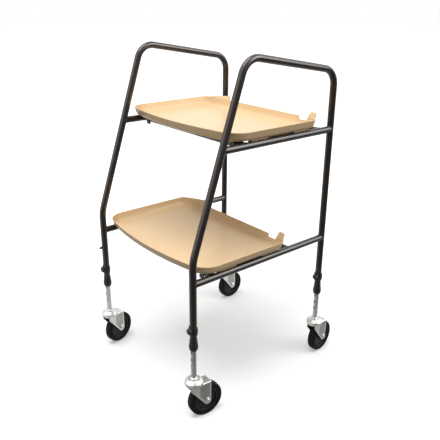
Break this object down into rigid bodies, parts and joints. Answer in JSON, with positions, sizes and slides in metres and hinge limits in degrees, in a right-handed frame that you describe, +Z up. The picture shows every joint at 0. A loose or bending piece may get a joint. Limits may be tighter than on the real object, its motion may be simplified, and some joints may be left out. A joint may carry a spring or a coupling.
{
  "type": "walking trolley with trays",
  "caption": "Bent-tube walking trolley with stacked lift-off trays, sloping side handles, telescopic legs held by snap clips, and swivel castors.",
  "frame": {"origin": "on the floor under the middle of the overall bounding box", "axes": "+Z up; -Y to the front, where the uprights lean; +X to the right as seen from the front looking along +Y"},
  "size_m": [0.507, 0.5892, 0.9492],
  "materials": {
    "frame_paint": "satin",
    "tray_plastic": "gloss",
    "black_plastic": "matte",
    "chrome": "polished",
    "fork_steel": "bright plated",
    "plated_steel": "plated",
    "tyre_rubber": "matte",
    "hub_plastic": "matte"
  },
  "bodies": {
    "frame": {"left_side_frame": "frame_paint", "right_side_frame": "frame_paint", "upper_left_rail": "frame_paint", "upper_right_rail": "frame_paint", "upper_front_bar": "frame_paint", "upper_rear_bar": "frame_paint", "lower_left_rail": "frame_paint", "lower_right_rail": "frame_paint", "lower_front_bar": "frame_paint", "lower_rear_bar": "frame_paint", "front_left_ferrule": "black_plastic", "front_right_ferrule": "black_plastic", "rear_left_ferrule": "black_plastic", "rear_right_ferrule": "black_plastic", "front_left_stud": "black_plastic"},
    "upper_tray": {"upper_tray": "tray_plastic", "upper_tray_clips": "black_plastic", "upper_tray_screws": "plated_steel"},
    "lower_tray": {"lower_tray": "tray_plastic", "lower_tray_clips": "black_plastic", "lower_tray_screws": "plated_steel"},
    "front_left_leg": {"front_left_leg": "chrome", "front_left_castor_head": "chrome"},
    "front_left_fork": {"front_left_fork": "fork_steel", "front_left_axle_bolt": "plated_steel", "front_left_axle_nut": "plated_steel"},
    "front_left_wheel": {"front_left_tyre": "tyre_rubber", "front_left_hub": "hub_plastic"},
    "front_left_clip": {"front_left_clip": "black_plastic", "front_left_clip_pin": "plated_steel"},
    "front_right_leg": {"front_right_leg": "chrome", "front_right_castor_head": "chrome"},
    "front_right_fork": {"front_right_fork": "fork_steel", "front_right_axle_bolt": "plated_steel", "front_right_axle_nut": "plated_steel"},
    "front_right_wheel": {"front_right_tyre": "tyre_rubber", "front_right_hub": "hub_plastic"},
    "front_right_clip": {"front_right_clip": "black_plastic", "front_right_clip_pin": "plated_steel"},
    "rear_left_leg": {"rear_left_leg": "chrome", "rear_left_castor_head": "chrome"},
    "rear_left_fork": {"rear_left_fork": "fork_steel", "rear_left_axle_bolt": "plated_steel", "rear_left_axle_nut": "plated_steel"},
    "rear_left_wheel": {"rear_left_tyre": "tyre_rubber", "rear_left_hub": "hub_plastic"},
    "rear_left_clip": {"rear_left_clip": "black_plastic", "rear_left_clip_pin": "plated_steel"},
    "rear_right_leg": {"rear_right_leg": "chrome", "rear_right_castor_head": "chrome"},
    "rear_right_fork": {"rear_right_fork": "fork_steel", "rear_right_axle_bolt": "plated_steel", "rear_right_axle_nut": "plated_steel"},
    "rear_right_wheel": {"rear_right_tyre": "tyre_rubber", "rear_right_hub": "hub_plastic"},
    "rear_right_clip": {"rear_right_clip": "black_plastic", "rear_right_clip_pin": "plated_steel"}
  },
  "joints": [
    {"name": "upper_tray_lift", "type": "slide", "parent": "frame", "child": "upper_tray", "axis": [0, 0, 1], "range_m": [0, 0.045]},
    {"name": "lower_tray_lift", "type": "slide", "parent": "frame", "child": "lower_tray", "axis": [0, 0, 1], "range_m": [0, 0.06]},
    {"name": "front_left_height", "type": "slide", "parent": "frame", "child": "front_left_leg", "axis": [0, 0, 1], "range_m": [-0.066, 0.066]},
    {"name": "front_left_clip_pull", "type": "slide", "parent": "frame", "child": "front_left_clip", "axis": [0, -1, 0], "range_m": [0, 0.024]},
    {"name": "front_left_swivel", "type": "hinge", "parent": "front_left_leg", "child": "front_left_fork", "pos_m": [-0.225, -0.2695, 0.10925], "axis": [0, 0, 1], "continuous": true},
    {"name": "front_left_spin", "type": "hinge", "parent": "front_left_fork", "child": "front_left_wheel", "pos_m": [-0.2338, -0.23666, 0.05], "axis": [0.9659, 0.2588, 0], "continuous": true},
    {"name": "front_right_height", "type": "slide", "parent": "frame", "child": "front_right_leg", "axis": [0, 0, 1], "range_m": [-0.066, 0.066]},
    {"name": "front_right_clip_pull", "type": "slide", "parent": "frame", "child": "front_right_clip", "axis": [0, -1, 0], "range_m": [0, 0.024]},
    {"name": "front_right_swivel", "type": "hinge", "parent": "front_right_leg", "child": "front_right_fork", "pos_m": [0.225, -0.2695, 0.10925], "axis": [0, 0, 1], "continuous": true},
    {"name": "front_right_spin", "type": "hinge", "parent": "front_right_fork", "child": "front_right_wheel", "pos_m": [0.22855, -0.23569, 0.05], "axis": [0.9945, -0.1045, 0], "continuous": true},
    {"name": "rear_left_height", "type": "slide", "parent": "frame", "child": "rear_left_leg", "axis": [0, 0, 1], "range_m": [-0.066, 0.066]},
    {"name": "rear_left_clip_pull", "type": "slide", "parent": "frame", "child": "rear_left_clip", "axis": [0, -1, 0], "range_m": [0, 0.024]},
    {"name": "rear_left_swivel", "type": "hinge", "parent": "rear_left_leg", "child": "rear_left_fork", "pos_m": [-0.225, 0.2105, 0.10925], "axis": [0, 0, 1], "continuous": true},
    {"name": "rear_left_spin", "type": "hinge", "parent": "rear_left_fork", "child": "rear_left_wheel", "pos_m": [-0.22619, 0.24448, 0.05], "axis": [0.9994, 0.0349, 0], "continuous": true},
    {"name": "rear_right_height", "type": "slide", "parent": "frame", "child": "rear_right_leg", "axis": [0, 0, 1], "range_m": [-0.066, 0.066]},
    {"name": "rear_right_clip_pull", "type": "slide", "parent": "frame", "child": "rear_right_clip", "axis": [0, -1, 0], "range_m": [0, 0.024]},
    {"name": "rear_right_swivel", "type": "hinge", "parent": "rear_right_leg", "child": "rear_right_fork", "pos_m": [0.225, 0.2105, 0.10925], "axis": [0, 0, 1], "continuous": true},
    {"name": "rear_right_spin", "type": "hinge", "parent": "rear_right_fork", "child": "rear_right_wheel", "pos_m": [0.22086, 0.24425, 0.05], "axis": [0.9925, 0.1219, 0], "continuous": true}
  ]
}
